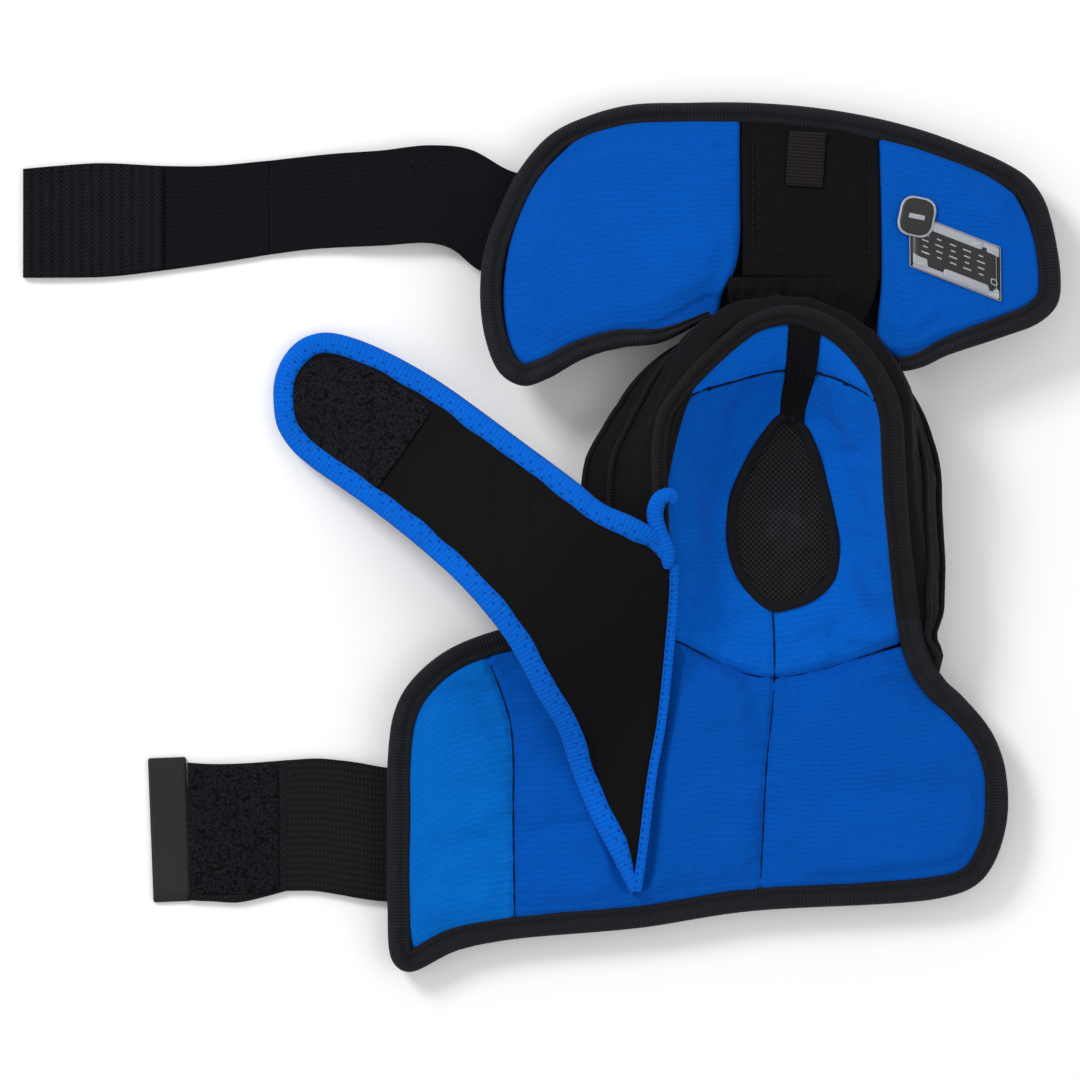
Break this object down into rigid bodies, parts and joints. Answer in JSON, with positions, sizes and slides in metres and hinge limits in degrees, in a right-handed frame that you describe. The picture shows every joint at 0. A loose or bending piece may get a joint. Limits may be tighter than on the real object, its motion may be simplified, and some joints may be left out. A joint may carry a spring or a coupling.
{
  "type": "ice hockey elbow pad",
  "caption": "Ice hockey elbow pad shown lining up: an elbow cup with a forearm guard, a flexing bicep guard on a tongue, and wrap, wrist and bicep straps that close it round the arm.",
  "frame": {"origin": "middle of the whole pad, on the surface it lies on", "axes": "+X towards the side away from the strap ends, +Y up the arm towards the bicep guard, +Z out of the lining"},
  "size_m": [0.4906, 0.4115, 0.0596],
  "materials": {
    "blue_lining": "brushed knit lining over foam",
    "foam": "closed-cell foam",
    "plastic": "moulded hard shell",
    "black_nylon": "woven nylon shell cloth",
    "black_tape": "ribbed edge tape",
    "black_elastic": "woven elastic",
    "hook_tape": "hook and loop tape",
    "loop_pile": "napped loop pile",
    "neoprene": "neoprene with a smooth knit face",
    "blue_tape": "bright knit edge tape",
    "mesh": "open spacer mesh",
    "label_print": "thin printed film",
    "rubber_tab": "moulded rubber"
  },
  "bodies": {
    "pad_body": {"elbow_cap": "plastic", "elbow_pan": "black_nylon", "elbow_end_panel": "black_nylon", "side_panel_lower_left": "black_nylon", "side_panel_lower_right": "black_nylon", "side_panel_upper_left": "black_nylon", "side_panel_upper_right": "black_nylon", "elbow_foam": "foam", "elbow_liner": "blue_lining", "crest_liner_left": "blue_lining", "crest_liner_right": "blue_lining", "centre_webbing": "black_tape", "teardrop_tape": "black_tape", "vent_mesh": "mesh", "rim_tape": "black_tape", "forearm_cover": "black_nylon", "forearm_plate": "plastic", "forearm_foam": "foam", "forearm_liner_wing": "blue_lining", "forearm_liner_left": "blue_lining", "forearm_liner_right": "blue_lining", "forearm_tape": "black_tape", "forearm_loop_patch": "loop_pile", "wrist_strap_anchor": "black_elastic", "tongue_root": "black_nylon"},
    "bicep_guard": {"bicep_cover": "black_nylon", "bicep_plate": "plastic", "bicep_foam": "foam", "bicep_liner_left": "blue_lining", "bicep_liner_right": "blue_lining", "bicep_centre_panel": "black_nylon", "tongue": "black_nylon", "bicep_tape": "black_tape", "bicep_loop_patch": "loop_pile", "bicep_strap_anchor": "black_elastic", "size_label": "label_print"},
    "ribbon_tab": {"ribbon_tab": "black_tape"},
    "bicep_strap_near": {"bicep_strap_inner": "black_elastic"},
    "bicep_strap_end": {"bicep_strap_outer": "black_elastic", "bicep_strap_patch": "hook_tape"},
    "wrist_strap_near": {"wrist_strap_inner": "black_elastic"},
    "wrist_strap_end": {"wrist_strap_outer": "black_elastic", "wrist_strap_patch": "hook_tape", "wrist_pull_tab": "rubber_tab"},
    "wrap_near": {"wrap_inner": "neoprene", "wrap_tape_inner": "blue_tape"},
    "wrap_end": {"wrap_outer": "neoprene", "wrap_tape_outer": "blue_tape", "wrap_hook_patch": "hook_tape"}
  },
  "joints": [
    {"name": "bicep_flex", "type": "hinge", "parent": "pad_body", "child": "bicep_guard", "pos_m": [0.1047, 0.1165, 0.03], "axis": [1, 0, 0], "range_deg": [0, 60]},
    {"name": "bicep_strap_lift", "type": "hinge", "parent": "bicep_guard", "child": "bicep_strap_near", "pos_m": [-0.0323, 0.15137, 0.00851], "axis": [0, 0.9874, -0.1582], "range_deg": [0, 70]},
    {"name": "bicep_strap_curl", "type": "hinge", "parent": "bicep_strap_near", "child": "bicep_strap_end", "pos_m": [-0.12855, 0.157, 0.002], "axis": [0, 1, 0], "range_deg": [0, 60]},
    {"name": "wrist_strap_lift", "type": "hinge", "parent": "pad_body", "child": "wrist_strap_near", "pos_m": [-0.0735, -0.1383, 0.0033], "axis": [0, 0.9992, 0.041], "range_deg": [0, 85]},
    {"name": "wrist_strap_curl", "type": "hinge", "parent": "wrist_strap_near", "child": "wrist_strap_end", "pos_m": [-0.12055, -0.137, 0.002], "axis": [0, 1, 0], "range_deg": [0, 80]},
    {"name": "wrap_lift", "type": "hinge", "parent": "pad_body", "child": "wrap_near", "pos_m": [0.0548, -0.0715, 0.0253], "axis": [0.0837, 0.9956, 0.0418], "range_deg": [0, 105]},
    {"name": "wrap_curl", "type": "hinge", "parent": "wrap_near", "child": "wrap_end", "pos_m": [-0.02519, -0.00775, 0.05205], "axis": [0.6468, 0.7627, 0], "range_deg": [0, 80]},
    {"name": "ribbon_tab_lift", "type": "hinge", "parent": "bicep_guard", "child": "ribbon_tab", "pos_m": [0.12604, 0.18907, 0.01959], "axis": [-0.9976, 0.0689, -0.011], "range_deg": [0, 120]}
  ]
}
